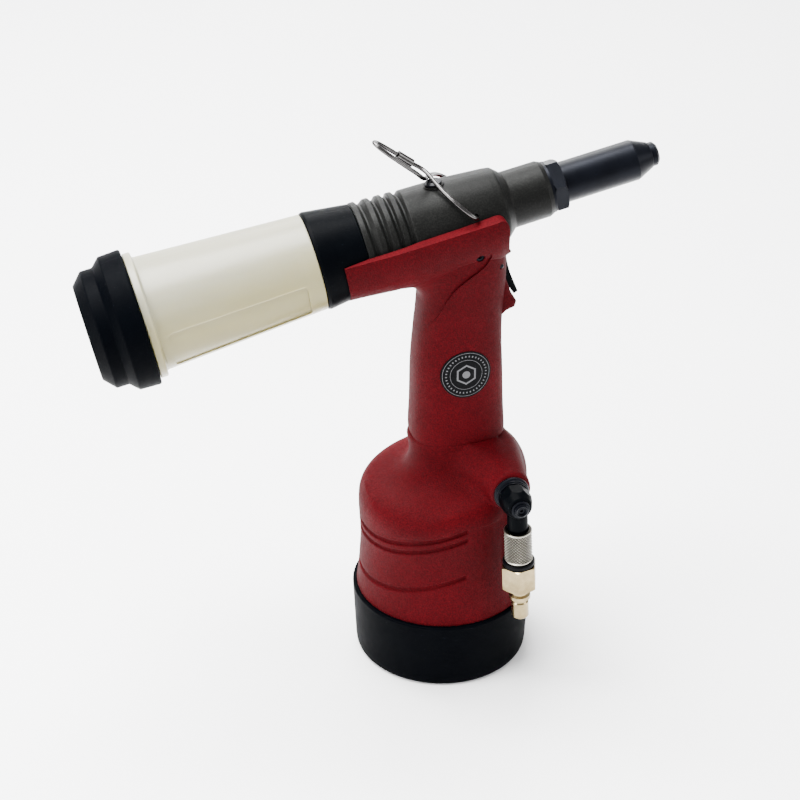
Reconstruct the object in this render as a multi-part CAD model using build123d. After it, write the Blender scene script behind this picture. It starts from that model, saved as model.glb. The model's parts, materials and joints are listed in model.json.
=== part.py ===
"""Pneumatic blind-rivet gun, built as an assembly of separate parts.

Frame: +X towards the nose, +Y to the tool's left, +Z up, origin at the centre of the base on the floor.
Lengths are in millimetres. Each part is written to parts/NODE.step in its assembled place.
"""

import math
import os

from build123d import *

os.makedirs("parts", exist_ok=True)

# ---- driving dimensions -------------------------------------------------------------------------
AXIS_Z = 257.2          # height of the barrel axis above the floor at X = 0
TILT = 11.9             # nose-up angle of the barrel, degrees
HEAD_BORE = 15.0        # radius of the hydraulic bore in the head
PULL_ROD = 7.5          # radius of the pulling piston's front rod
TAIL_ROD = 7.0          # radius of the pulling piston's rear rod
NOSE_R = 10.45          # radius of the nose sleeve
NUT_FLATS = 24.0        # nose lock nut, across flats
SADDLE_R = 27.3         # outer radius of the handle's saddle round the barrel axis
SADDLE_TOP = 4.4        # height of the saddle's edge above the barrel axis
KEEL_R, KEEL_Z = 20.5, 243.6    # level keel under the rear of the saddle
RECESS = 0.9            # depth of the recessed flanks below the saddle's band
SEAM_Z = 135.0          # joint between the handle and the cylinder housing
AIR_BORE = 39.0         # radius of the air cylinder
PLUNGER_R = 7.0         # radius of the plunger rod
BOOT_TOP = 39.5         # height of the rubber boot
TRIGGER_X, TRIGGER_Z = 24.8, 235.9
ROD_X = 18.5            # line of the trigger rod and its valve
PIN_R = 1.2             # trigger pin
BOLT_X, BOLT_Z = 12.3, 244.5
BAIL_X, BAIL_Z = 10.4, 266.3
BAIL_SLOPE = 38.4       # rearward slope of the resting bail above the horizontal, degrees
WIRE_R = 1.1
INLET_X, INLET_Z = 24.2, 118.3
LEG_Y = -54.3           # centre line of the hanging leg of the air inlet
LEG_LEAN = 3.0          # lean of the hanging leg, its foot towards the nose, degrees
PLUG_FLATS = 17.0       # air plug hexagon, across flats
BADGE_X, BADGE_Z, BADGE_R = 6.8, 177.0, 13.4

COS, SIN = math.cos(math.radians(TILT)), math.sin(math.radians(TILT))
BARREL = Plane(origin=(0, 0, AXIS_Z), x_dir=(-SIN, 0, COS), z_dir=(COS, 0, SIN))
BARREL_SIDE = Plane(origin=(0, 0, AXIS_Z), x_dir=(COS, 0, SIN), z_dir=(0, -1, 0))


# ---- helpers ------------------------------------------------------------------------------------
def outline(points, rounds=()):
    """Closed face through corner points; rounds lists (corner index, radius)."""
    face = make_face(Polyline(*points, close=True))
    for index, radius in rounds:
        corner = face.vertices().sort_by_distance(Vector(*points[index]))[0]
        face = fillet(corner, radius)
    return face


def turned(points, place=Plane.XY, rounds=()):
    """Solid of revolution through (radius, height) corners about a plane's Z axis."""
    return place.location * revolve(Plane.XZ * outline(points, rounds), Axis.Z)


def rod(radius, low, high, place=Plane.XY):
    """Plain cylinder between two heights on a plane's Z axis."""
    return place.location * Pos(0, 0, low) * Cylinder(radius, high - low,
                                                      align=(Align.CENTER, Align.CENTER, Align.MIN))


def hexagon(flats, low, high, place=Plane.XY, chamfer_r=0.0, turn=0.0, sides=6):
    """Hexagonal (or other regular) bar, its corners trimmed by a double cone when chamfer_r is given."""
    corner_r = flats / 2 / math.cos(math.pi / sides)
    bar = Pos(0, 0, low) * Rot(0, 0, turn) * extrude(RegularPolygon(corner_r, sides), high - low)
    if chamfer_r:
        edge = corner_r - chamfer_r
        cone = turned([(0, low), (chamfer_r, low), (chamfer_r + edge, low + edge * 0.6),
                       (chamfer_r + edge, high - edge * 0.6), (chamfer_r, high), (0, high)])
        bar = bar & cone
    return place.location * bar


def side_plate(points, half_width, rounds=()):
    """Plate cut from an XZ outline, centred on Y = 0."""
    return extrude(Plane.XZ * outline(points, rounds), half_width, both=True)


def across(x, y, z, outward=-1):
    """Plane at a point whose Z axis runs along -Y or +Y."""
    return Plane(origin=(x, y, z), x_dir=(1, 0, 0), z_dir=(0, outward, 0))


def coil(mean_r, wire_r, low, high, turns, place=Plane.XY):
    """Helical compression spring between two heights."""
    path = Helix((high - low - 2.2 * wire_r) / turns, high - low - 2.2 * wire_r, mean_r)
    section = Plane(origin=path @ 0, z_dir=path % 0) * Circle(wire_r)
    return place.location * Pos(0, 0, low + 1.1 * wire_r) * sweep(section, path)


def torus(major, minor, height, place=Plane.XY):
    return place.location * Pos(0, 0, height) * Torus(major, minor)


def egg(back, front, half_width, power=2.7, points=20):
    """Rounded-oval outline: a superellipse between two X stations."""
    middle, half = (back + front) / 2, (front - back) / 2
    ring = []
    for i in range(points):
        a = 2 * math.pi * i / points
        c, s = math.cos(a), math.sin(a)
        ring.append((middle + half * math.copysign(abs(c) ** (2 / power), c),
                     half_width * math.copysign(abs(s) ** (2 / power), s)))
    return make_face(Spline(*ring, periodic=True))


def save(name, shape, color):
    """Write one part as a single-product STEP file."""
    solids = shape.solids()
    body = solids[0] if len(solids) == 1 else Compound(children=list(solids))
    body.label = name
    body.color = Color(*color)
    export_step(body, f"parts/{name}.step")


RED, BLACK, DARK = (0.55, 0.05, 0.08), (0.03, 0.03, 0.035), (0.2, 0.2, 0.18)
STEEL, SEAL, CREAM, ALLOY = (0.6, 0.6, 0.62), (0.05, 0.05, 0.05), (0.85, 0.82, 0.7), (0.75, 0.75, 0.73)
BRASS = (0.78, 0.7, 0.45)


# ---- nose ---------------------------------------------------------------------------------------
def nose():
    nosepiece = turned([(1.7, 87.6), (3.6, 87.6), (3.6, 96), (5.4, 97), (5.4, 109), (6.2, 109),
                        (6.2, 111.6), (4.6, 113),
                        (1.7, 113)], BARREL, [(6, 0.6)])
    save("nosepiece", nosepiece, STEEL)
    sleeve = turned([(8.9, 40), (NOSE_R, 40), (NOSE_R, 100.4), (6.6, 109), (5.45, 109), (5.45, 96),
                     (8.9, 96)],
                    BARREL, [(2, 1.0), (3, 0.3)])
    save("nose_sleeve", sleeve, BLACK)
    nut = hexagon(NUT_FLATS, 55, 61.5, BARREL, 12.6, 10) - rod(10.5, 50, 65, BARREL)
    save("nose_lock_nut", nut, BLACK)
    save("nose_washer", turned([(10.5, 53.6), (13.2, 53.6), (13.2, 55), (10.5, 55)], BARREL), BLACK)


# ---- mandrel jaws -------------------------------------------------------------------------------
JAW_CONE = 10.0         # half angle of the jaw cone, degrees


def jaws():
    case = turned([(5.52, 45), (8.5, 45), (8.5, 88), (7.5, 89.5), (3.9, 89.5), (3.9, 88), (6.4, 73.8),
                   (6.4, 56),
                   (5.52, 56)], BARREL)
    save("jaw_case", case, STEEL)
    slope = math.tan(math.radians(JAW_CONE))
    wedge = turned([(1.8, 75), (6.4 - 1.2 * slope - 0.35, 75), (6.4 - 13.2 * slope - 0.35, 87), (1.8, 87)])
    flank = 0.75
    for i in range(3):
        cut = extrude(outline([(flank, 0), (20 + flank, 20 * math.sqrt(3)),
                               (20 + flank, -20 * math.sqrt(3))]),
                      100, both=True)
        jaw = wedge & (Rot(0, 0, 120 * i) * cut)
        teeth = [torus(1.8, 0.22, 76.5 + 1.2 * k) for k in range(8)]
        for tooth in teeth:
            jaw = jaw - tooth
        save(f"jaw_{i + 1}", BARREL.location * jaw, STEEL)
    save("jaw_pusher", turned([(3.3, 66), (6.1, 66), (6.1, 71), (4.6, 74.4), (3.3, 74.4)], BARREL), STEEL)
    save("jaw_spring", coil(5.3, 0.5, 56.0, 66.0, 4, BARREL), STEEL)


# ---- pulling piston and head --------------------------------------------------------------------
def pull_piston():
    piston = turned([(3.2, -42), (TAIL_ROD, -42), (TAIL_ROD, -10), (14.9, -10), (14.9, -7.2), (12.6, -7.2),
                     (12.6, -3.8), (14.9, -3.8), (14.9, -1), (PULL_ROD, -1), (PULL_ROD, 45), (5.5, 45),
                     (5.5, 56),
                     (3.2, 56)], BARREL)
    save("pull_piston", piston, STEEL)
    save("pull_piston_seal", turned([(12.6, -7.0), (14.94, -7.0), (14.94, -4.0), (12.6, -4.0)], BARREL),
         SEAL)
    save("piston_return_spring", coil(11.6, 0.9, -37.9, -10.1, 4.5, BARREL), STEEL)
    tube = turned([(2.4, -76), (3.15, -76), (3.15, 64), (2.4, 64)], BARREL)
    save("mandrel_tube", tube, STEEL)


def head():
    crests = [(-42.9, 22.4), (-35.9, 22.2), (-29.7, 21.9), (-24.0, 21.6)]
    skin = [(18.0, -44.5), (22.0, -44.5)]
    for station, radius in crests:
        skin += [(radius, station - 1.2), (radius, station + 1.2), (radius - 1.9, station + 2.6),
                 (radius - 1.9, station + 3.4)]
    crest_rounds = [(2 + 4 * i + k, (0.6, 0.6, 0.35, 0.35)[k]) for i in range(4) for k in range(4)]
    skin += [(21.2, -19.0), (20.7, 3.9), (19.0, 24.5), (18.5, 28.3), (14.6, 32.6), (14.5, 51.4),
             (13.5, 53.6)]
    bores = [(10.5, 53.6), (10.5, 40), (9.0, 40), (9.0, 24), (PULL_ROD + 0.05, 24), (PULL_ROD + 0.05, 5),
             (HEAD_BORE, 5), (HEAD_BORE, -38), (18.0, -38)]
    casting = turned(skin + bores, BARREL, crest_rounds + [(18, 1.0), (21, 2.5), (22, 1.6)])
    pad = rod(11.0, 233, AXIS_Z) - rod(17, -60, 60, BARREL)
    boss = BARREL.location * Pos(0, 0, -2) * Rot(0, 90, 0) * Pos(0, 0, 17) * Cylinder(
        5.2, 4.4, align=(Align.CENTER, Align.CENTER, Align.MIN))
    casting = casting + pad + boss
    casting = casting - Pos(4.5, 0, 230) * Cylinder(2, 40)
    casting = casting - rod(2.55, 14, 30, FILLER) - rod(1.5, -30, 30, across(BAIL_X, 0, BAIL_Z))
    casting = casting + rod(HEAD_BORE + 2, 5, 24, BARREL) - rod(PULL_ROD + 0.05, 0, 30, BARREL)
    casting = casting - rod(1.55, -20, 20, across(BOLT_X, 0, BOLT_Z))
    save("head_casting", casting, DARK)
    plug = turned([(TAIL_ROD + 0.06, -38), (17.98, -38), (17.98, -44.5), (14, -44.5), (14, -49), (8.0, -49),
                   (8.0, -44.5), (TAIL_ROD + 0.06, -44.5)], BARREL)
    save("head_rear_plug", plug, STEEL)
    screw = rod(4.1, 21.9, 22.6, FILLER) + rod(2.5, 15.6, 22.0, FILLER) - hexagon(2.5, 20.6, 24, FILLER)
    save("oil_filler_screw", chamfer(screw.edges().filter_by(GeomType.CIRCLE).sort_by_distance(
        (FILLER.location * Pos(0, 0, 22.6)).position)[-1], 0.3), BLACK)
    save("oil_filler_seal", turned([(2.6, 21.4), (4.5, 21.4), (4.5, 21.9), (2.6, 21.9)], FILLER), SEAL)


FILLER_S = -2.0
FILLER = Plane(origin=(BARREL.location * Pos(0, 0, FILLER_S)).position, x_dir=(COS, 0, SIN),
               z_dir=(-SIN, 0, COS))


def collar_and_bottle():
    collar = turned([(21.0, -69), (24.7, -69), (25.1, -67.6), (22.1, -44.7), (14.05, -44.7), (14.05, -49.2),
                     (8.0, -49.2), (8.0, -55), (21.0, -55)], BARREL, [(1, 0.3), (2, 0.6), (3, 0.5)])
    save("bottle_collar", collar, BLACK)
    skin = [(16.5, -55.6), (20.6, -55.6), (20.6, -59.8), (18.9, -59.8), (18.9, -62.2), (20.6, -62.2),
            (20.6, -69.3),
            (24.4, -69.3), (28.9, -154), (31.8, -154), (31.8, -158), (26.4, -158), (22.2, -72), (16.5, -70)]
    bottle = turned(skin, BARREL, [(8, 1.2), (9, 1.0), (7, 0.8), (10, 0.5), (11, 0.4)])
    panel_ring = turned([(23.85, -78), (27, -78), (31, -149), (27.95, -149)])
    low, high = math.radians(-46), math.radians(4)
    wedge = extrude(outline([(0, 0)] + [(60 * math.sin(a),
                                         60 * math.cos(a)) for a in (high, (low + high) / 2, low)]),
                    200, both=True)
    panel = panel_ring & wedge
    panel = fillet(panel.edges().filter_by(lambda e: e.length < 6).sort_by(Axis.Z), 1.9)
    bottle = bottle - BARREL.location * panel
    save("mandrel_bottle", bottle, CREAM)
    save("bottle_seal", torus(19.93, 0.95, -61, BARREL), SEAL)
    cap = turned([(0, -185.5), (23.9, -185.5), (29.9, -180), (29.9, -173.8), (34.1, -169.5), (34.6, -158.3),
                  (25.5, -158.3), (25.3, -150), (23, -150), (23, -178), (0, -178)], BARREL,
                 [(1, 1.5), (2, 1.0), (3, 0.8), (4, 1.0), (5, 1.2)])
    save("bottle_end_cap", cap, BLACK)


# ---- hanger bail --------------------------------------------------------------------------------
def bail_point(reach, side, lift):
    """Point in the bail's own plane: along the bail, across it, and off its plane."""
    c, s = math.cos(math.radians(BAIL_SLOPE)), math.sin(math.radians(BAIL_SLOPE))
    return (BAIL_X - c * reach + s * lift, side, BAIL_Z + s * reach + c * lift)


def bail():
    leg = [(0, -17.2, 0), (0, -19.9, 0), (1.2, -21.6, 0), (4, -22.0, 0), (9, -20.0, 0), (14, -15.8, 0),
           (19.4, -9.4, 0.2), (23.8, -2.8, 0.9), (26.0, 0.5, 1.25), (28.6, 3.5, 1.1), (33, 5.6, 0.4),
           (40, 6.2, 0.1),
           (48, 5.9, 0), (54, 4.8, 0), (58, 2.6, 0)]
    loop = leg + [(59.4, 0, 0)] + [(reach, -side, -lift) for reach, side, lift in reversed(leg)]
    path = Spline(*[bail_point(*p) for p in loop])
    wire = sweep(Plane(origin=path @ 0, z_dir=path % 0) * Circle(WIRE_R), path)
    save("hanger_bail", wire, STEEL)
    a, b = Vector(*bail_point(33.5, 5.72, 0.36)), Vector(*bail_point(42.5, 6.2, 0.08))
    place = Plane(origin=a, z_dir=b - a)
    save("bail_sleeve", rod(2.1, 0, (b - a).length, place) - rod(1.42, -1, 12, place), STEEL)


# ---- handle -------------------------------------------------------------------------------------
# rows of the grip: height, rear X, front X, half width, share of the recess at that height
GRIP = [(SEAM_Z, -17.7, 32.1, 18.6, 0.0), (151.5, -17.5, 31.3, 18.4, 0.0), (168, -17.2, 30.6, 18.3, 0.0),
        (184.5, -16.5, 29.8, 18.2, 0.0), (201, -15.0, 29.4, 18.3, 0.1), (217.5, -14.2, 30.2, 19.3, 0.75),
        (234, -14.4, 30.6, 20.7, 1.0), (250.5, -14.8, 30.6, 21.8, 1.0)]


def grip(inset=0.0, top=len(GRIP), recess=0.0):
    """Handle column as a loft through rounded sections, shrunk by an inset or by the flank recess."""
    sections = []
    for z, back, front, half, share in GRIP[:top]:
        cut = inset + recess * share
        sections.append(Pos(0, 0, z) * egg(back + cut, front - cut, half - cut))
    return loft(sections)


def handle_skin(recess=0.0):
    """Outside of the handle: column, saddle and keel, blended where they meet."""
    trim = extrude(BARREL_SIDE * outline([(-70, SADDLE_TOP), (25.9, SADDLE_TOP), (25.9, -2), (24.7, -11),
                                          (24.7, -18),
                                          (60, -24), (60, -160), (-70, -160)], [(1, 4.5), (2, 3.0)]), 60,
                                          both=True)
    outer = SADDLE_R - recess
    saddle = turned([(0, -58), (24.9 - recess, -58), (25.5 - recess, -50), (27.0 - recess, -34),
                     (outer, -24),
                     (outer, 20), (outer - 1.7, 26), (0, 26)], BARREL, [(5, 4.0)])
    keel_r = KEEL_R - recess
    keel = rod(keel_r, -44, 0, Plane(origin=(0, 0, KEEL_Z), x_dir=(0, 1, 0), z_dir=(1, 0, 0)))

    def meets_column(edge):
        for t in (0.1, 0.3, 0.5, 0.7, 0.9):
            p = edge @ t
            q = BARREL.to_local_coords(p)
            on_saddle = abs(math.hypot(q.X, q.Y) - outer) < 0.4
            on_keel = abs(math.hypot(p.Y, p.Z - KEEL_Z) - keel_r) < 0.3
            if not (on_saddle or on_keel) or not -24 < p.X < 20:
                return False
        return edge.length > 5

    body = saddle + keel + grip(recess=recess)
    return fillet(body.edges().filter_by(meets_column), 8.0) & trim


def flank():
    """XZ outline of the recessed flank, with a round end about the handle bolt, as a thick plate."""
    end = [(BOLT_X + 5.6 * math.cos(math.radians(a)), BOLT_Z + 5.6 * math.sin(math.radians(a)))
           for a in (95, 60, 25, -10, -45)]
    crease = [(11.3, 236.1), (6.3, 232.6), (1.2, 228.2), (-4.6, 218.9), (-7.5, 212.2), (-12, 204.6),
              (-14.5, 199)]
    band = [(-60, 234.2), (-32, 241.8), (-10.2, 247.7), (2.2, 250.9)]
    face = make_face([Polyline(*band), Spline(band[-1], *end, crease[0]), Spline(*crease),
                      Polyline(crease[-1], (-60, 199), band[0])])
    return extrude(Plane.XZ * face, 60, both=True)


def cheeks():
    """Cheeks that flank the trigger and end in the beak under it."""
    plate = side_plate([(20, 243), (27.4, 243), (28.4, 234), (30.0, 224), (32.9, 216), (35.9, 210.8),
                        (35.0, 207.6),
                        (30.6, 206.0), (27.6, 203.2), (26.4, 198), (20, 194)], 10.5,
                       [(3, 12), (4, 8), (5, 1.2), (6, 1.2), (7, 3), (8, 3)])
    return fillet(plate.edges().filter_by(lambda e: abs(e.center().Y) > 10.4 and e.center().X > 27), 2.6)


def handle():
    skin = handle_skin()
    body = skin - (flank() - handle_skin(RECESS)) + cheeks()
    # cavities: grip interior, head seat, hydraulic tube, trigger slot, trigger rod, bolt
    seat = turned([(0, -62), (24.55, -62), (22.35, -44.7), (22.6, -40), (22.5, -26), (21.5, -19), (21.0, 4),
                   (19.3, 25), (18.8, 28.5), (14.9, 33), (14.8, 60), (0, 60)], BARREL)
    inner = grip(3.0, 5) - Pos(0, 0, 204) * Box(80, 80, 10, align=(Align.CENTER, Align.CENTER, Align.MIN))
    body = body - seat - inner
    body = body - rod(11.3, 190, 250) - rod(3.2, 190, 234, Plane(origin=(ROD_X, 0, 0)))
    slot = side_plate([(13.5, 207.8), (45, 207.8), (45, 236.5), (33, 242.5), (14, 240), (13.5, 228)], 6.3,
                      [(3, 3.0)])
    bolt_side = across(BOLT_X, 0, BOLT_Z)
    body = body - slot - rod(1.55, -30, 30, bolt_side) - rod(2.35, 17.5, 30, bolt_side)
    body = body - rod(PIN_R + 0.02, -18.6, 30, across(TRIGGER_X, 0, TRIGGER_Z))
    spot = rod(BADGE_R + 0.1, 10, 30, across(BADGE_X, 0, BADGE_Z))
    body = body - (spot - grip(0.5))
    right = body & Pos(0, -100, 190) * Box(400, 200, 300)
    left = body & Pos(0, 100, 190) * Box(400, 200, 300)
    save("handle_shell_right", right, RED)
    save("handle_shell_left", left, RED)
    badge = (rod(BADGE_R, 10, 30, across(BADGE_X, 0, BADGE_Z)) & grip(-0.3)) - grip(0.47)
    save("badge_plate", badge, BLACK)
    bolt = rod(1.5, -15, 17.6, bolt_side) + rod(2.25, 17.5, 19.8, bolt_side) - hexagon(2.2, 18.6, 22,
                                                                                       bolt_side)
    save("handle_bolt", bolt, BLACK)


# ---- trigger and valve --------------------------------------------------------------------------
def trigger():
    line = Plane(origin=(ROD_X, 0, 0))
    blade = side_plate([(20.6, 238.6), (27.2, 239.6), (30.3, 237.4), (31.2, 232.5), (32.9, 226.0),
                        (37.4, 214.6),
                        (35.2, 213.4), (31.4, 219.5), (28.9, 226.0), (27.4, 230.6), (22.0, 229.8),
                        (15.6, 229.2),
                        (15.6, 232.2), (20.6, 232.2)], 5.6,
                       [(0, 1.5), (1, 2.0), (2, 1.5), (3, 6.0), (4, 12.0), (5, 0.4), (6, 0.4), (7, 6.0),
                        (8, 4.0)])
    blade = blade - rod(PIN_R + 0.08, -10, 10, across(TRIGGER_X, 0, TRIGGER_Z))
    # hole for the rod, set forwards because the arm swings back past it, and a well for the rod's head
    blade = blade - rod(2.1, 225, 236, Plane(origin=(ROD_X + 0.45, 0, 0))) - rod(3.2, 232.2, 241, line)
    save("trigger", blade, BLACK)
    save("trigger_pin", rod(PIN_R, -18.4, 18.2, across(TRIGGER_X, 0, TRIGGER_Z)), BLACK)
    save("trigger_rod", rod(1.2, 124, 233.6, line) + rod(2.6, 232.9, 234.4, line) + rod(2.4, 120, 124.5,
                                                                                        line),
         STEEL)
    body = turned([(0, 112), (6.45, 112), (6.45, 133), (1.6, 133), (1.6, 130), (3.0, 130), (3.0, 115),
                   (0, 115)],
                  line) - rod(1.8, 0, 10, across(ROD_X, 0, 118.5)) - rod(1.8, 0, 10,
                                                                         across(ROD_X, 0, 118.5, 1))
    save("valve_body", body, ALLOY)
    save("valve_spring", coil(2.0, 0.35, 124.6, 129.9, 5, line), STEEL)


# ---- hydraulic cylinder, air motor --------------------------------------------------------------
def power_unit():
    tube = turned([(7.06, 102), (16, 102), (16, 106), (10.5, 106), (10.5, 233), (0, 233), (0, 228),
                   (7.06, 228)])
    tube = tube - Pos(4.5, 0, 230) * Cylinder(2, 20)
    save("hydraulic_cylinder", tube, STEEL)
    save("plunger_rod", turned([(0, 12), (4, 12), (4, 26), (PLUNGER_R, 26), (PLUNGER_R, 122.4), (6.4, 123),
                                (0, 123)]), STEEL)
    save("plunger_nut", hexagon(12, 12.5, 16) - rod(4.03, 0, 30), STEEL)
    piston = turned([(4.03, 16), (38.7, 16), (38.7, 19.4), (36.3, 19.4), (36.3, 22.6), (38.7, 22.6),
                     (38.7, 26),
                     (4.03, 26)])
    save("air_piston", piston, ALLOY)
    save("air_piston_seal", turned([(36.3, 19.5), (38.93, 19.5), (38.93, 22.5), (36.3, 22.5)]), SEAL)
    save("air_cylinder_liner", turned([(AIR_BORE, 10), (41.5, 10), (41.5, 94), (AIR_BORE, 94)]), ALLOY)
    plate = turned([(12.02, 94), (41.5, 94), (41.5, 98), (37, 102), (12.02, 102)])
    save("cylinder_head_plate", plate, ALLOY)
    save("plunger_gland", turned([(PLUNGER_R + 0.06, 92), (13.4, 92), (13.4, 94), (12.0, 94), (12.0, 102),
                                  (PLUNGER_R + 0.06, 102)]), BRASS)
    base = turned([(0, 3), (41.8, 3), (41.8, 5.8), (39.7, 5.8), (39.7, 8.2), (41.8, 8.2), (41.8, 10),
                   (0, 10)])
    save("base_plate", base, ALLOY)
    save("base_seal", torus(40.75, 0.95, 7), SEAL)
    boot = turned([(0, 0), (46.3, 0), (46.9, 5), (48.4, BOOT_TOP), (44.6, BOOT_TOP), (44.6, 3), (0, 3)],
                  rounds=[(1, 3.0), (3, 1.0)])
    save("base_boot", boot, BLACK)


# ---- cylinder housing ---------------------------------------------------------------------------
WAIST = [(0, 46.3), (7.2, 45.4), (19, 44.5), (30.5, 43.9), (44, 44.5), (58, 45.0), (110, 45.2)]
SHOULDER = [(-44.9, 90.0, 44.9, 105.0, 44.9), (-44.8, 96.5, 45.0, 112.0, 44.6),
            (-41.6, 102.0, 43.6, 118.0, 40.4),
            (-34.0, 104.6, 39.4, 123.0, 31.8), (-26.2, 107.2, 35.6, 127.5, 24.0),
            (-20.4, 113.0, 33.0, 132.0, 19.7),
            (-17.9, 124.0, 32.2, 137.0, 18.6), (-17.7, 136.0, 32.1, 142.0, 18.6)]


def shoulder_section(rear_x, rear_z, front_x, front_z, half_width):
    """Section of the shoulder in a plane that rises towards the front."""
    length = math.hypot(front_x - rear_x, front_z - rear_z)
    plane = Plane(origin=((rear_x + front_x) / 2, 0, (rear_z + front_z) / 2),
                  x_dir=(front_x - rear_x, 0, front_z - rear_z),
                  z_dir=(rear_z - front_z, 0, front_x - rear_x))
    return plane.location * egg(-length / 2, length / 2, half_width, 2.15)


def housing():
    wall = [(radius, BOOT_TOP + height) for height, radius in WAIST]
    barrel = revolve(Plane.XZ * make_face([Spline(*wall),
                                           Polyline(wall[-1], (0, wall[-1][1]), (0, wall[0][1]),
                                                                    wall[0])]), Axis.Z)
    dome = loft([shoulder_section(*row) for row in SHOULDER])
    first = SHOULDER[0]
    slope = math.degrees(math.atan2(first[3] - first[1], first[2] - first[0]))
    trim = Pos(0, 0, (first[1] + first[3]) / 2) * Rot(0, -slope, 0) * Pos(0, 0, 60) * Box(200, 200, 120)
    body = (barrel - trim) + dome
    body = body & Pos(0, 0, SEAM_Z - 100) * Box(300, 300, 200)
    # inlet boss, a hump that falls to it from the neck, and a rib that fades out down the wall below it
    boss = turned([(0, 6), (16.4, 6), (10.9, 44), (0, 44)], across(INLET_X, 0, INLET_Z), [(2, 2.6)])
    crown, end = Vector(12.0, -3.0, 124.0), Vector(INLET_X, -39.0, INLET_Z + 0.4)
    hump = Plane(origin=crown, z_dir=end - crown).location * Cone(
        18.0, 10.2, (end - crown).length, align=(Align.CENTER, Align.CENTER, Align.MIN))
    top, foot = Vector(INLET_X, -29.0, INLET_Z), Vector(INLET_X - 2.0, -24.0, 50)
    rib = rod(12.0, 0, (foot - top).length, Plane(origin=top, z_dir=foot - top))
    body = body + (hump & Pos(0, 0, SEAM_Z - 100) * Box(300, 300, 200)) + boss + rib
    for ring_z in (98.0, 92.4, 68.4):
        band = Pos(0, 0, ring_z) * Rot(0, -18, 0) * Box(160, 160, 2.6)
        groove = revolve(Plane.XZ * make_face([Spline(*[(r + 3, z) for r, z in wall]), Polyline(
            (wall[-1][0] + 3, wall[-1][1]), (wall[-1][0] - 1.3, wall[-1][1]))] + [
            Spline(*[(r - 1.3, z) for r, z in wall]), Polyline((wall[0][0] - 1.3, wall[0][1]),
                                                               (wall[0][0] + 3, wall[0][1]))]), Axis.Z)
        body = body - (band & groove & Pos(1.3 - 100, 0, 100) * Box(200, 200, 200))
    skirt = rod(44.5, 3, BOOT_TOP + 2)
    spigot = Pos(0, 0, SEAM_Z) * extrude(egg(GRIP[0][1] + 3.7, GRIP[0][2] - 3.7, GRIP[0][3] - 3.7), 4)
    body = body + skirt + spigot
    cavity = turned([(0, 3), (41.85, 3), (41.85, 10), (41.52, 10), (41.52, 98.05), (37, 102.1), (0, 102.1)])
    body = body - cavity - rod(16.1, 96, 106.1) - rod(10.7, 96, 150)
    valve = rod(6.5, 112, 150, Plane(origin=(ROD_X, 0, 0)))
    body = body - valve - rod(3.0, 4, 60, across(INLET_X, 0, INLET_Z)) - rod(5.0, 34, 60, across(
        INLET_X, 0, INLET_Z))
    save("cylinder_housing", body, RED)


# ---- air inlet ----------------------------------------------------------------------------------
def inlet():
    face = across(INLET_X, -44.0, INLET_Z)
    gland = turned([(3.1, -9.9), (4.95, -9.9), (4.95, 0.0), (9.4, 0.0), (9.4, 1.4), (8.6, 2.2), (8.6, 3.0),
                    (8.1, 3.2),
                    (8.1, 4.1), (3.1, 4.1)], face, [(3, 0.4), (4, 0.5)])
    save("inlet_gland", gland, BLACK)
    save("inlet_stem", turned([(2.0, -8), (3.05, -8), (3.05, 15.8), (2.0, 15.8)], face), STEEL)
    lean = math.radians(LEG_LEAN)
    leg = Plane(origin=(INLET_X, LEG_Y, INLET_Z), x_dir=(math.cos(lean), 0, math.sin(lean)),
                z_dir=(-math.sin(lean), 0, math.cos(lean)))
    skin = turned([(0, 4.4), (7.9, 4.4), (8.3, 5.2), (8.3, 10.2), (6.2, 16.2), (0, 16.2)], face,
                  [(3, 3.0), (4, 1.4)])
    body = hexagon(15.2, 4.4, 16.2, face, turn=22.5, sides=8) & skin
    body = body + rod(5.4, -14.5, -3, leg) + rod(4.5, -20.3, -13, leg)
    body = body - rod(3.1, 0, 18.0, face) - rod(2.2, -26, -1, leg)
    save("swivel_elbow", body, BLACK)
    screw = turned([(0, 15.9), (2.9, 15.9), (2.9, 16.25), (5.0, 16.25), (5.0, 17.0), (4.2, 17.2),
                    (3.7, 17.2),
                    (3.7, 18.4), (3.0, 18.8), (2.3, 18.4), (2.3, 17.6), (1.0, 17.6), (1.0, 16.8),
                    (0, 16.8)],
                   face, [(3, 0.3)])
    save("swivel_screw", screw, BLACK)
    save("inlet_tube", turned([(3.0, -37.8), (5.6, -37.8), (5.6, -20.3), (3.0, -20.3)], leg), STEEL)
    sleeve = turned([(5.9, -34.7), (7.0, -34.7), (7.4, -34.3), (7.4, -16.5), (7.0, -16.1), (5.9, -16.1)],
                    leg)
    save("slide_sleeve", sleeve, ALLOY)
    save("sleeve_seal", turned([(5.62, -37.6), (8.1, -37.6), (8.5, -37.0), (8.5, -35.7), (8.1, -35.0),
                                (5.62, -35.0)],
                               leg, [(2, 0.3), (3, 0.3)]), SEAL)
    plug = hexagon(PLUG_FLATS, -52.0, -37.8, leg, 8.9, 10)
    plug = plug + turned([(0, -71.7), (4.1, -71.7), (4.6, -71.0), (4.6, -62.2), (4.0, -61.4), (4.0, -60.2),
                          (5.7, -59.4),
                          (5.7, -57.4), (4.5, -56.4), (4.5, -55.0), (5.3, -53.8), (5.3, -51.9), (0, -51.9)],
                          leg)
    plug = plug - rod(2.6, -75, -36, leg)
    save("air_plug", plug, BRASS)


nose()
jaws()
pull_piston()
head()
collar_and_bottle()
bail()
handle()
trigger()
power_unit()
housing()
inlet()
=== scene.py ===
"""Looks for the pneumatic rivet gun: materials, fine detail, floor, light and camera."""
import json
import math

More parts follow.
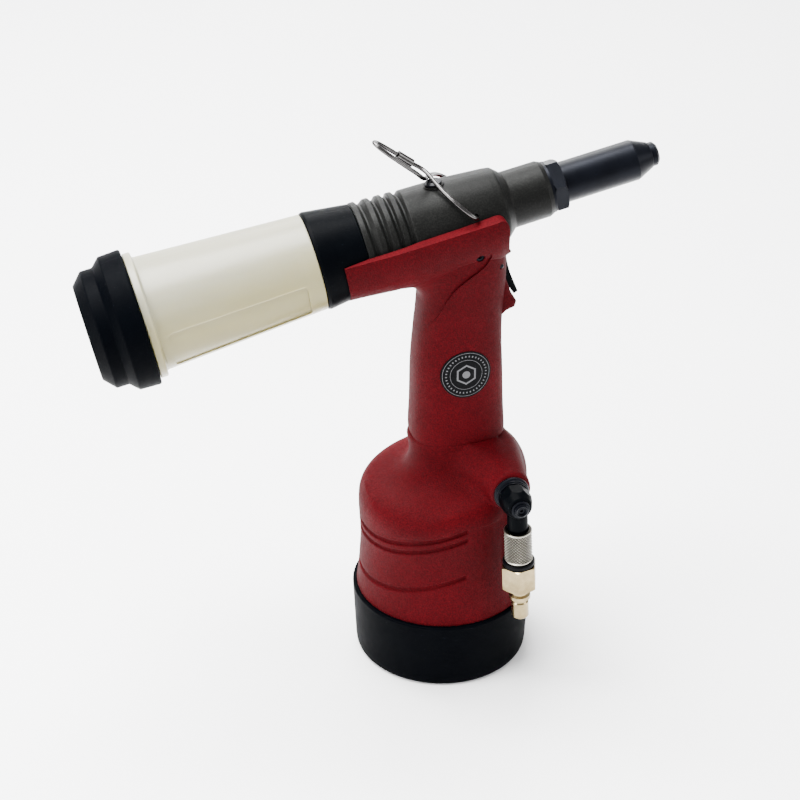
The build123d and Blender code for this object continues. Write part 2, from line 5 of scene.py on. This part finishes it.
import bmesh
import bpy
import numpy as np
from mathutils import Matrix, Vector


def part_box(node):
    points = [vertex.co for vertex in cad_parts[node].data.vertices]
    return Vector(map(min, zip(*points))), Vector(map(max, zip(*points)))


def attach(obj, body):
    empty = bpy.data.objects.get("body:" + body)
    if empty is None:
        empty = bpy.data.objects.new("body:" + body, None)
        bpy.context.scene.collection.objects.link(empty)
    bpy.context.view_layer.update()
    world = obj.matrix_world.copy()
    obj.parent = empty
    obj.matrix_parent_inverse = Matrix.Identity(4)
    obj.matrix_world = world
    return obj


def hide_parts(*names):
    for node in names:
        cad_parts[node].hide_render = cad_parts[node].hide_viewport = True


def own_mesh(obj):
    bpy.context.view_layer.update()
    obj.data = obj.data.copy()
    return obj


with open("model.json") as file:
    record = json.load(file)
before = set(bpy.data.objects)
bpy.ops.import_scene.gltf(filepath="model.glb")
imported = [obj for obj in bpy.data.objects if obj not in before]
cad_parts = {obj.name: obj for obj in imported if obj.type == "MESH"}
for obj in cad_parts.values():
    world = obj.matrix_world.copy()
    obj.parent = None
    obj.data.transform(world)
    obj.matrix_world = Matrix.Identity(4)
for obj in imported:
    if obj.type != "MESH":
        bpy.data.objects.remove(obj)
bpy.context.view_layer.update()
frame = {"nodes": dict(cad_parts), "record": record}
MM = 0.001

# ---- the frame's own landmarks ------------------------------------------------------------------
JOINTS = {joint["name"]: joint for joint in frame["record"]["behaviour"]["joints"]}
BARREL = JOINTS["bottle_twist"]["axis"]            # towards the nose
TILT = math.atan2(BARREL[2], BARREL[0])            # nose-up angle of the barrel
UP = Vector((-math.sin(TILT), 0, math.cos(TILT)))  # square to the barrel, upwards
LEG_FOOT = Vector(JOINTS["inlet_swivel"]["pos_m"])  # centre of the swivel block, on the leg's axis
LEG_UP = Vector(JOINTS["sleeve_slide"]["axis"]).normalized()

# ---- the knurled sleeve's sizes, along the leg from the swivel ----------------------------------
TEETH, ROWS = 26, 9                                # diamonds round the grip and along it
STEPS = 6                                          # samples across each diamond
SLEEVE_BORE, SLEEVE_R, KNURL_DEPTH = 5.9 * MM, 7.38 * MM, 0.5 * MM
SLEEVE_FOOT, SLEEVE_TOP, SLEEVE_LIP = -34.7 * MM, -16.1 * MM, 1.3 * MM
SLEEVE_CHAMFER = 0.35 * MM
RELIEF_OUT, RELIEF_IN = 0.5 * MM, 0.2 * MM         # from the knurl to the two edges of the relief beside it


def centre(node):
    """Middle of a CAD node's box at rest."""
    low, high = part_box(node)
    return (Vector(low) + Vector(high)) / 2


def add(name, data):
    """A new object, linked into the scene."""
    made = bpy.data.objects.new(name, data)
    bpy.context.scene.collection.objects.link(made)
    return made


def finished(build, name):
    """The mesh that a bmesh holds, with its faces turned outwards."""
    bmesh.ops.recalc_face_normals(build, faces=build.faces)
    mesh = bpy.data.meshes.new(name)
    build.to_mesh(mesh)
    build.free()
    return mesh


# ---- material helpers ---------------------------------------------------------------------------
class Shader:
    """A node material built around one Principled shader, with textures in object space."""

    def __init__(self, name, **values):
        self.material = bpy.data.materials.new(name)
        self.material.use_nodes = True
        self.tree = self.material.node_tree
        self.bsdf = self.tree.nodes["Principled BSDF"]
        self.place = self.node("ShaderNodeTexCoord").outputs["Object"]
        self.height = None
        for key, value in values.items():
            self.bsdf.inputs[key.replace("_", " ")].default_value = value

    def node(self, kind, inputs=None, **settings):
        made = self.tree.nodes.new(kind)
        for key, value in settings.items():
            setattr(made, key, value)
        for key, value in (inputs or {}).items():
            if isinstance(value, bpy.types.NodeSocket):
                self.tree.links.new(value, made.inputs[key])
            else:
                made.inputs[key].default_value = value
        return made

    def math(self, operation, a, b=0.0):
        return self.node("ShaderNodeMath", {0: a, 1: b}, operation=operation).outputs[0]

    def length(self, a, b):
        """Distance from the origin to the point (a, b)."""
        return self.math("SQRT", self.math("ADD", self.math("MULTIPLY", a, a), self.math("MULTIPLY", b, b)))

    def stretched(self, scale, rotation=(0, 0, 0)):
        inputs = {"Vector": self.place, "Rotation": rotation, "Scale": scale}
        return self.node("ShaderNodeMapping", inputs).outputs[0]

    def noise(self, scale, detail=3.0, roughness=0.55, where=None):
        inputs = {"Vector": where or self.place, "Scale": scale, "Detail": detail, "Roughness": roughness}
        return self.node("ShaderNodeTexNoise", inputs).outputs["Fac"]

    def cells(self, scale):
        return self.node("ShaderNodeTexVoronoi", {"Vector": self.place, "Scale": scale}).outputs["Distance"]

    def ramp(self, factor, *stops):
        made = self.node("ShaderNodeValToRGB", {"Fac": factor})
        band = made.color_ramp
        while len(band.elements) < len(stops):
            band.elements.new(0.5)
        for element, (position, colour) in zip(band.elements, stops):
            element.position = position
            element.color = (*colour, 1)
        return made.outputs["Color"]

    def mix(self, factor, a, b):
        return self.node("ShaderNodeMixRGB", {"Fac": factor, "Color1": a, "Color2": b}).outputs["Color"]

    def span(self, factor, low, high):
        """Carries a factor of 0 to 1 over to the range from low to high."""
        return self.node("ShaderNodeMapRange", {"Value": factor, "To Min": low, "To Max": high}).outputs[0]

    def share(self, value, low, high):
        """How far a value has come from low to high, from 0 to 1."""
        return self.node("ShaderNodeMapRange", {"Value": value, "From Min": low, "From Max": high}).outputs[0]

    def colour(self, socket):
        self.tree.links.new(socket, self.bsdf.inputs["Base Color"])

    def gloss(self, socket):
        self.tree.links.new(socket, self.bsdf.inputs["Roughness"])

    def bump(self, socket, depth, strength=1.0):
        """Adds one relief layer, its depth in metres."""
        inputs = {"Height": socket, "Distance": depth, "Strength": strength}
        if self.height:
            inputs["Normal"] = self.height
        self.height = self.node("ShaderNodeBump", inputs).outputs["Normal"]
        self.tree.links.new(self.height, self.bsdf.inputs["Normal"])


# ---- materials ----------------------------------------------------------------------------------
# The studio is bright, so colours are low and dark finishes have a weak specular level.
def red_plastic():
    """Red moulding with a fine leathery grain."""
    s = Shader("red_leather_grain_plastic", IOR=1.46, Specular_IOR_Level=0.035)
    body = s.ramp(s.noise(34, 4), (0.3, (0.038, 0.0006, 0.0018)), (0.7, (0.057, 0.0010, 0.0028)))
    grain = s.ramp(s.noise(1300, 3), (0.38, (0.0, 0.0, 0.0)), (0.62, (1.0, 1.0, 1.0)))
    s.colour(s.mix(grain, s.mix(0.55, body, (0.010, 0.0002, 0.0008, 1)), body))
    s.gloss(s.span(s.noise(420, 4), 0.56, 0.76))
    s.bump(s.cells(1250), 0.00020, 0.6)
    s.bump(s.noise(2600, 2), 0.0001, 0.5)
    return s.material


def black_rubber():
    """Blue-black rubber with a soft sheen and a matt bloom."""
    s = Shader("black_moulded_rubber", IOR=1.5, Specular_IOR_Level=0.010)
    s.colour(s.ramp(s.noise(60, 5), (0.3, (0.0003, 0.0005, 0.0010)), (0.75, (0.0006, 0.0009, 0.0015))))
    s.gloss(s.span(s.noise(180, 5), 0.44, 0.64))
    s.bump(s.noise(1500, 3), 0.0001, 0.35)
    s.bump(s.noise(90, 2), 0.0003, 0.12)
    return s.material


def black_plastic():
    s = Shader("black_satin_plastic", IOR=1.48, Specular_IOR_Level=0.014)
    s.colour(s.ramp(s.noise(70, 4), (0.3, (0.0004, 0.0006, 0.0010)), (0.75, (0.0008, 0.0011, 0.0016))))
    s.gloss(s.span(s.noise(240, 4), 0.30, 0.48))
    s.bump(s.noise(1900, 2), 0.00006, 0.4)
    return s.material


def dark_casting():
    """Grey-green anodised casting with a fine speckle."""
    s = Shader("dark_anodised_casting", Metallic=0.35, Specular_IOR_Level=0.06)
    body = s.ramp(s.noise(26, 5, 0.6), (0.28, (0.0056, 0.0058, 0.0054)), (0.55, (0.0082, 0.0084, 0.0079)),
                  (0.8, (0.0115, 0.0117, 0.0111)))
    grains = s.ramp(s.noise(1500, 2), (0.44, (0.0, 0.0, 0.0)), (0.60, (1.0, 1.0, 1.0)))
    s.colour(s.mix(grains, s.mix(0.55, body, (0.002, 0.002, 0.002, 1)), body))
    s.gloss(s.span(s.noise(300, 5), 0.34, 0.52))
    s.bump(s.noise(1400, 3), 0.00012, 0.5)
    return s.material


def black_oxide():
    """Blue-black oxide on turned steel, rubbed a little brighter in places."""
    s = Shader("black_oxide_steel", Metallic=0.55, Specular_IOR_Level=0.10)
    s.colour(s.ramp(s.noise(80, 5), (0.3, (0.0014, 0.0018, 0.0032)), (0.72, (0.0028, 0.0034, 0.0056)),
                    (0.86, (0.0070, 0.0080, 0.0110))))
    rings = s.noise(40, 3, 0.6, s.stretched((60, 2, 2), (0, TILT, 0)))
    s.gloss(s.span(rings, 0.26, 0.46))
    s.bump(rings, 0.00003, 0.5)
    return s.material


def turned_steel():
    s = Shader("turned_steel", Metallic=1.0)
    s.colour(s.ramp(s.noise(120, 4), (0.3, (0.10, 0.10, 0.105)), (0.8, (0.19, 0.19, 0.195))))
    rings = s.noise(50, 3, 0.6, s.stretched((50, 2, 2), (0, TILT, 0)))
    s.gloss(s.span(rings, 0.18, 0.34))
    s.bump(rings, 0.00002, 0.4)
    return s.material


def bright_wire():
    s = Shader("polished_spring_wire", Metallic=1.0)
    s.colour(s.ramp(s.noise(160, 5), (0.3, (0.035, 0.034, 0.034)), (0.8, (0.105, 0.102, 0.100))))
    s.gloss(s.span(s.noise(500, 4), 0.12, 0.28))
    s.bump(s.noise(700, 3), 0.00003, 0.4)
    return s.material


def satin_alloy():
    s = Shader("satin_aluminium", Metallic=1.0)
    s.colour(s.ramp(s.noise(200, 5), (0.3, (0.16, 0.15, 0.125)), (0.8, (0.25, 0.235, 0.20))))
    s.gloss(s.span(s.noise(600, 4), 0.24, 0.42))
    s.bump(s.noise(1200, 3), 0.00003, 0.4)
    return s.material


def knurled_alloy():
    """Satin aluminium with painted shade in the cuts of the knurl; its object's Z axis is the sleeve's own
    axis.
    """
    s = Shader("knurled_aluminium", Metallic=1.0)
    axes = s.node("ShaderNodeSeparateXYZ", {0: s.place})
    radius = s.length(axes.outputs["X"], axes.outputs["Y"])
    bare_alloy = s.ramp(s.noise(200, 5), (0.3, (0.31, 0.290, 0.245)), (0.8, (0.43, 0.405, 0.345)))
    # painted shade: the colour darkens from the crest of the knurl down to the root of each cut
    clear_of_painted_shade = s.share(radius, SLEEVE_R - KNURL_DEPTH, SLEEVE_R)
    s.colour(s.mix(clear_of_painted_shade, (0.022, 0.020, 0.016, 1), bare_alloy))
    s.gloss(s.span(s.noise(600, 4), 0.26, 0.44))
    s.bump(s.noise(1200, 3), 0.00003, 0.4)
    return s.material


def pale_brass():
    s = Shader("nickel_tinted_brass", Metallic=1.0)
    s.colour(s.ramp(s.noise(140, 5), (0.3, (0.170, 0.128, 0.062)), (0.75, (0.330, 0.265, 0.150))))
    rings = s.noise(60, 3, 0.6, s.stretched((2, 2, 60)))
    s.gloss(s.span(rings, 0.16, 0.32))
    s.bump(rings, 0.00003, 0.4)
    return s.material


def bronze():
    s = Shader("bearing_bronze", Metallic=1.0)
    s.colour(s.ramp(s.noise(150, 4), (0.3, (0.16, 0.09, 0.03)), (0.8, (0.24, 0.15, 0.06))))
    s.gloss(s.span(s.noise(500, 3), 0.26, 0.42))
    return s.material


def cream_bottle():
    """Milky blow-moulded bottle that lets some light through."""
    s = Shader("milky_translucent_bottle", IOR=1.46, Specular_IOR_Level=0.35, Subsurface_Weight=0.55,
               Subsurface_Scale=0.005, Transmission_Weight=0.22)
    s.bsdf.inputs["Subsurface Radius"].default_value = (1.0, 0.86, 0.6)
    half_height, wander = 26 * MM, 24 * MM
    height = s.node("ShaderNodeVectorMath", {0: s.place, 1: UP}, operation="DOT_PRODUCT").outputs["Value"]
    cloud = s.math("SUBTRACT", s.noise(28, 4, 0.6, s.stretched((0.5, 1, 1), (0, TILT, 0))), 0.5)
    above = s.math("SUBTRACT", height, centre("mandrel_bottle").dot(UP))
    level = s.math("ADD", above, s.math("MULTIPLY", cloud, wander))
    s.colour(s.ramp(s.share(level, -half_height, half_height),
                    (0.05, (0.265, 0.242, 0.148)), (0.35, (0.228, 0.200, 0.090)),
                    (0.55, (0.290, 0.256, 0.112)), (0.75, (0.320, 0.292, 0.160)),
                    (0.95, (0.285, 0.274, 0.200))))
    s.gloss(s.span(s.noise(300, 4), 0.24, 0.40))
    s.bump(s.noise(500, 3), 0.00006, 0.3)
    return s.material


def seal_rubber():
    s = Shader("seal_rubber", IOR=1.5, Specular_IOR_Level=0.05)
    s.colour(s.ramp(s.noise(150, 3), (0.3, (0.0007, 0.0007, 0.0010)), (0.8, (0.0015, 0.0015, 0.0018))))
    s.gloss(s.span(s.noise(400, 3), 0.34, 0.5))
    return s.material


# The badge's print, in millimetres from its middle. Each line is given as half its width.
RINGS, RING_LINE = (12.5, 8.5), 0.12
TICKS, TICK_RING, TICK_LINE = 36, 10.6, 0.45
TICK_LEVEL = 0.45                                  # a tick shows where its wave, from -1 to 1, is above this
HEXAGON, HEXAGON_LINE, DOT = 4.6, 0.45, 2.1        # the hexagon by its inner radius, the dot by its radius


def badge_print():
    """Round printed badge: two rings, ticks between them and a small hexagon mark, and no lettering."""
    s = Shader("printed_badge", IOR=1.5, Specular_IOR_Level=0.03)
    middle = centre("badge_plate")
    offset = s.node("ShaderNodeVectorMath", {0: s.place, 1: middle}, operation="SUBTRACT").outputs[0]
    axes = s.node("ShaderNodeSeparateXYZ", {0: offset})
    x, z = axes.outputs["X"], axes.outputs["Z"]
    radius = s.length(x, z)

    def ring(at, half_width):
        return s.math("LESS_THAN", s.math("ABSOLUTE", s.math("SUBTRACT", radius, at * MM)), half_width * MM)

    angle = s.math("ARCTAN2", z, x)
    hexagon = s.math("MULTIPLY", radius, s.math("COSINE", s.math("PINGPONG", angle, math.pi / 6)))
    off_line = s.math("ABSOLUTE", s.math("SUBTRACT", hexagon, HEXAGON * MM))
    mark = s.math("LESS_THAN", off_line, HEXAGON_LINE * MM)
    ink = s.math("MAXIMUM", mark, s.math("LESS_THAN", radius, DOT * MM))
    for at in RINGS:
        ink = s.math("MAXIMUM", ink, ring(at, RING_LINE))
    wave = s.math("SINE", s.math("MULTIPLY", angle, TICKS))
    ticks = s.math("MULTIPLY", s.math("GREATER_THAN", wave, TICK_LEVEL), ring(TICK_RING, TICK_LINE))
    ink = s.math("MAXIMUM", ink, ticks)
    ground = s.ramp(s.noise(200, 4), (0.3, (0.0006, 0.0007, 0.0010)), (0.8, (0.0012, 0.0014, 0.0018)))
    s.colour(s.mix(ink, ground, (0.090, 0.090, 0.095, 1)))
    s.gloss(s.span(s.noise(300, 3), 0.22, 0.36))
    s.bump(ink, 0.00006, 0.6)
    return s.material


FINISHES = {
    "red_housing": red_plastic(),
    "black_rubber": black_rubber(),
    "black_plastic": black_plastic(),
    "dark_casting": dark_casting(),
    "black_oxide": black_oxide(),
    "plain_steel": turned_steel(),
    "bright_wire": bright_wire(),
    "satin_alloy": satin_alloy(),
    "pale_brass": pale_brass(),
    "bronze": bronze(),
    "cream_bottle": cream_bottle(),
    "seal_rubber": seal_rubber(),
    "label": badge_print(),
}


def dress_cad_nodes():
    """Gives every carried-over CAD node the finish of its material slot."""
    for part in frame["record"]["subparts"]:
        mesh = frame["nodes"][part["node"]].data
        mesh.materials.clear()
        mesh.materials.append(FINISHES[part["material_slot"]])


# ---- soft-edged housing -------------------------------------------------------------------------
VOXEL = 0.5 * MM
PASSES, PACE = 400, 0.5                            # rounds of smoothing, and how far a point goes in each
KEPT_FACES = 0.15                                  # share of the even mesh's faces kept in the end

# Places on the housing, in millimetres. Each (from, to) pair is where one smooth step starts and ends.
NECK_X, NECK_LONG, NECK_WIDE = 7.2, 24.9, 18.6     # middle and half-widths of the handle's oval foot
NECK_EDGE = (1.06, 1.25)                           # not in millimetres, but in sizes of that oval
SEAM_GAP, GROOVE_GAP = (1.5, 8), (0, 6)            # below the handle's seam, and above the grooves
GROOVE_Z, GROOVE_CLIMB, GROOVE_CREST = 100.5, 0.325, 1.3   # their top edge at X = 0, its slope and its end
GROOVE_DROP, GROOVE_FALL = 14, (3, 14)             # how far that edge then falls, and where along X
BOSS_FACE, TUBE_EDGE = (-42.5, -36), (13.5, 15.5)  # the boss's face in Y, and the oil bore by radius
AIR_BORE_R, AIR_BORE_TOP = 41.5, 102.4             # the air cylinder's bore
VALVE_BORE_R, PORT_R, PORT_END = 8, 6.5, -4        # the valve's bore, and the air port and its inner end
HUMP_CROWN, HUMP_FOOT_Y = (12.0, -3.0, 124.0), -39  # the two ends of the hump's line
HUMP_SHARE, HUMP_EDGE = 0.45, (20, 32)             # softening on that line, and where it grows to full


def rise(value, low, high):
    """Smooth step from 0 at the low value to 1 at the high one."""
    t = np.clip((value - low) / (high - low), 0, 1)
    return t * t * (3 - 2 * t)


def off_hump(spots):
    """Distance of each spot from the line that runs along the hump to the inlet, in millimetres."""
    crown = np.array(HUMP_CROWN)
    run = np.array((LEG_FOOT.x / MM, HUMP_FOOT_Y, LEG_FOOT.z / MM)) - crown
    along = np.clip((spots - crown) @ run / np.dot(run, run), 0, 1)
    return np.linalg.norm(spots - crown - along[:, None] * run, axis=1)


def softening(points):
    """Share of the full softening per point: less at the hump, none at bores, grooves and mating edges."""
    spots = points / MM
    x, y, z = spots.T
    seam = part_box("handle_shell_right")[0].z / MM
    oval = np.hypot((x - NECK_X) / NECK_LONG, y / NECK_WIDE)
    radius = np.hypot(x, y)
    groove_top = GROOVE_Z + GROOVE_CLIMB * np.minimum(x, GROOVE_CREST) - GROOVE_DROP * rise(x, *GROOVE_FALL)
    share = np.maximum(rise(seam - z, *SEAM_GAP), rise(oval, *NECK_EDGE)) * rise(z - groove_top, *GROOVE_GAP)
    share *= rise(y, *BOSS_FACE) * rise(radius, *TUBE_EDGE)
    share[(radius < AIR_BORE_R) & (z < AIR_BORE_TOP)] = 0
    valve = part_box("valve_body")
    valve_x = (valve[0].x + valve[1].x) / 2 / MM
    share[np.hypot(x - valve_x, y) < VALVE_BORE_R] = 0
    port = np.hypot(x - LEG_FOOT.x / MM, z - LEG_FOOT.z / MM)
    share[(port < PORT_R) & (y < PORT_END)] = 0
    return share * (HUMP_SHARE + (1 - HUMP_SHARE) * rise(off_hump(spots), *HUMP_EDGE))


def modified(name, mesh, kind, **settings):
    """The mesh as one modifier leaves it."""
    holder = add(name, mesh)
    modifier = holder.modifiers.new(kind.lower(), kind)
    for key, value in settings.items():
        setattr(modifier, key, value)
    made = bpy.data.meshes.new_from_object(holder.evaluated_get(bpy.context.evaluated_depsgraph_get()))
    bpy.data.objects.remove(holder)
    return made


def relax(mesh):
    """Moves the softened points towards the mean of their neighbours, over and over."""
    points = np.empty(len(mesh.vertices) * 3)
    mesh.vertices.foreach_get("co", points)
    points = points.reshape(-1, 3)
    ends = np.empty(len(mesh.edges) * 2, int)
    mesh.edges.foreach_get("vertices", ends)
    ends = ends.reshape(-1, 2)
    share = softening(points)
    ends = ends[(share[ends] > 0).any(axis=1)]
    a, b = np.concatenate((ends, ends[:, ::-1])).T
    count = np.maximum(np.bincount(a, minlength=len(points)), 1)
    for _ in range(PASSES):
        mean = np.stack([np.bincount(a, points[b, k], len(points)) / count for k in range(3)], axis=1)
        points += PACE * share[:, None] * (mean - points)
    mesh.vertices.foreach_set("co", points.ravel())


def soft_housing():
    """The housing as moulded, with its hump, neck and shoulder run into one another."""
    cast = frame["nodes"]["cylinder_housing"].data.copy()
    even = modified("rough_housing", cast, "REMESH", mode="VOXEL", voxel_size=VOXEL)
    relax(even)
    mesh = modified("fine_housing", even, "DECIMATE", ratio=KEPT_FACES)
    mesh.name = "moulded_housing"
    mesh.polygons.foreach_set("use_smooth", [True] * len(mesh.polygons))
    mesh.materials.clear()
    mesh.materials.append(FINISHES["red_housing"])
    housing = add("moulded_housing", mesh)
    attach(housing, "tool")
    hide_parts("cylinder_housing")


# ---- trigger pin --------------------------------------------------------------------------------
PIN_CHAMFER, PIN_SIDES = 0.3 * MM, 32
BESIDE, OUTSIDE = 1.7 * MM, 40 * MM                # from the pin's axis to the rays, and where the rays start


def wall(node, side):
    """Mean distance out to a handle shell's face round the trigger pin, on the +Y (1) or -Y (-1) side."""
    pivot = Vector(JOINTS["trigger_pull"]["pos_m"])
    reach = []
    for x, z in ((BESIDE, 0), (-BESIDE, 0), (0, BESIDE), (0, -BESIDE)):
        start = pivot + Vector((x, side * OUTSIDE, z))
        found, place, _, _ = frame["nodes"][node].ray_cast(start, Vector((0, -side, 0)))
        if found:
            reach.append(abs(place.y))
    return sum(reach) / len(reach)


def flush_pin():
    """A shorter trigger pin than the CAD one, its chamfered ends at the shells' mean level beside it."""
    low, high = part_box("trigger_pin")
    radius = (high.x - low.x) / 2
    end_radius = radius - PIN_CHAMFER
    near = -min(wall("handle_shell_right", -1), -low.y)
    far = min(wall("handle_shell_left", 1), high.y)
    rows = [(near, end_radius), (near + PIN_CHAMFER, radius), (far - PIN_CHAMFER, radius), (far, end_radius)]
    middle = centre("trigger_pin")
    angles = [2 * math.pi * k / PIN_SIDES for k in range(PIN_SIDES)]
    build = bmesh.new()
    rings = []
    for y, r in rows:
        circle = [(middle.x + r * math.cos(a), y, middle.z + r * math.sin(a)) for a in angles]
        rings.append([build.verts.new(spot) for spot in circle])
    for a, b in zip(rings, rings[1:]):
        for k in range(PIN_SIDES):
            build.faces.new((a[k - 1], a[k], b[k], b[k - 1]))
    build.faces.new(rings[0])
    build.faces.new(rings[-1])
    mesh = finished(build, "flush_pin")
    mesh.materials.append(FINISHES["black_oxide"])
    pin = add("flush_pin", mesh)
    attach(pin, "tool")
    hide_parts("trigger_pin")


# ---- springs ------------------------------------------------------------------------------------
def moving_spring(node):
    """A copy of a spring's CAD mesh, attached to the tool in place of the CAD node."""
    mesh = frame["nodes"][node].data.copy()
    mesh.name = node + "_coil"
    coil = add(mesh.name, mesh)
    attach(coil, "tool")
    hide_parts(node)
    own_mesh(coil)


# ---- knurled sleeve -----------------------------------------------------------------------------
def triangle(turns):
    """Triangle wave from 0 at whole turns to 1 halfway between them."""
    return 1 - abs(2 * (turns % 1.0) - 1)


def knurled_sleeve():
    """Turned sleeve whose grip carries a cut diamond knurl between two plain lips."""
    low, high = SLEEVE_FOOT + SLEEVE_LIP, SLEEVE_TOP - SLEEVE_LIP
    root, end_radius = SLEEVE_R - KNURL_DEPTH, SLEEVE_R - SLEEVE_CHAMFER
    rows = [(SLEEVE_FOOT, SLEEVE_BORE, 0), (SLEEVE_FOOT, end_radius, 0),
            (SLEEVE_FOOT + SLEEVE_CHAMFER, SLEEVE_R, 0),
            (low - RELIEF_OUT, SLEEVE_R, 0), (low - RELIEF_IN, root, 0)]
    first, count = len(rows), ROWS * STEPS
    last = first + count
    rows += [(low + (high - low) * k / count, SLEEVE_R, k / STEPS) for k in range(count + 1)]
    rows += [(high + RELIEF_IN, root, 0), (high + RELIEF_OUT, SLEEVE_R, 0),
             (SLEEVE_TOP - SLEEVE_CHAMFER, SLEEVE_R, 0),
             (SLEEVE_TOP, end_radius, 0), (SLEEVE_TOP, SLEEVE_BORE, 0)]
    columns = TEETH * STEPS
    build = bmesh.new()
    rings = []
    for index, (height, radius, turns) in enumerate(rows):
        ring = []
        for column in range(columns):
            across = column / STEPS
            cut = 0.0
            if first <= index <= last:
                cut = KNURL_DEPTH * max(1 - triangle(across + turns), 1 - triangle(across - turns))
            angle = 2 * math.pi * column / columns
            spot = ((radius - cut) * math.cos(angle), (radius - cut) * math.sin(angle), height)
            ring.append(build.verts.new(spot))
        rings.append(ring)
    for a, b in zip(rings, rings[1:] + rings[:1]):
        for k in range(columns):
            build.faces.new((a[k], a[k - 1], b[k - 1], b[k]))
    mesh = finished(build, "knurled_sleeve")
    mesh.materials.append(knurled_alloy())
    sleeve = add("knurled_sleeve", mesh)
    sleeve.location = LEG_FOOT
    sleeve.rotation_mode = "QUATERNION"
    sleeve.rotation_quaternion = LEG_UP.to_track_quat("Z", "Y")
    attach(sleeve, "sleeve")
    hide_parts("slide_sleeve")


# ---- stage --------------------------------------------------------------------------------------
FRONT, BACK, HALF_WIDTH, TOP = -3.0, 1.6, 4.0, 3.0   # the floor's ends along Y, and the backdrop's height
BEND_R, BEND_STEPS = 0.6, 12


def stage():
    """Pale floor that curves up into a backdrop."""
    sweep = [math.pi / 2 * k / BEND_STEPS for k in range(1, BEND_STEPS + 1)]
    outline = [(FRONT, 0.0), (BACK, 0.0)]
    outline += [(BACK + BEND_R * math.sin(a), BEND_R - BEND_R * math.cos(a)) for a in sweep]
    outline += [(BACK + BEND_R, TOP)]
    build = bmesh.new()
    rows = [[build.verts.new((x, y, z)) for x in (-HALF_WIDTH, HALF_WIDTH)] for y, z in outline]
    for a, b in zip(rows, rows[1:]):
        build.faces.new((a[0], a[1], b[1], b[0])).smooth = True
    mesh = bpy.data.meshes.new("floor")
    build.to_mesh(mesh)
    build.free()
    floor = add("floor", mesh)
    s = Shader("pale_floor", Roughness=0.7, Specular_IOR_Level=0.2)
    s.colour(s.ramp(s.noise(3, 3), (0.3, (0.91, 0.91, 0.92)), (0.8, (0.94, 0.94, 0.94))))
    mesh.materials.append(s.material)


def aim_at(holder, place, target):
    """Stands a light or the camera at one place, facing another."""
    holder.location = place
    holder.rotation_euler = (Vector(target) - Vector(place)).to_track_quat("-Z", "Y").to_euler()


def light(name, place, target, width, power):
    """A square softbox, its width in metres and its power in watts."""
    lamp = bpy.data.lights.new(name, "AREA")
    lamp.shape = "SQUARE"
    lamp.size = width
    lamp.energy = power
    aim_at(add(name, lamp), place, target)


def lights():
    """Four softboxes round the middle of the tool, and an even white surround."""
    aim = (0, 0, 0.15)
    light("overhead_softbox", (-0.45, 0.25, 1.6), aim, 1.2, 190)
    light("left_softbox", (-1.6, -0.5, 1.0), aim, 0.8, 34)
    light("right_softbox", (1.4, -1.0, 0.9), aim, 0.8, 16)
    light("rear_strip", (0.3, 1.4, 1.2), aim, 0.9, 26)
    world = bpy.data.worlds.new("studio")
    world.use_nodes = True
    backdrop = world.node_tree.nodes["Background"].inputs
    backdrop["Color"].default_value = (1, 1, 1, 1)
    backdrop["Strength"].default_value = 1.0
    bpy.context.scene.world = world


def camera():
    """A long lens to the tool's rear right, looking down at it."""
    lens = bpy.data.cameras.new("camera")
    lens.lens, lens.sensor_width = 100, 36
    place, target = (-0.2813, -0.9530, 0.7534), (-0.0217, 0.0059, 0.1522)
    holder = add("camera", lens)
    aim_at(holder, place, target)
    bpy.context.scene.camera = holder


dress_cad_nodes()
soft_housing()
flush_pin()
moving_spring("piston_return_spring")
moving_spring("valve_spring")
knurled_sleeve()
stage()
lights()
camera()
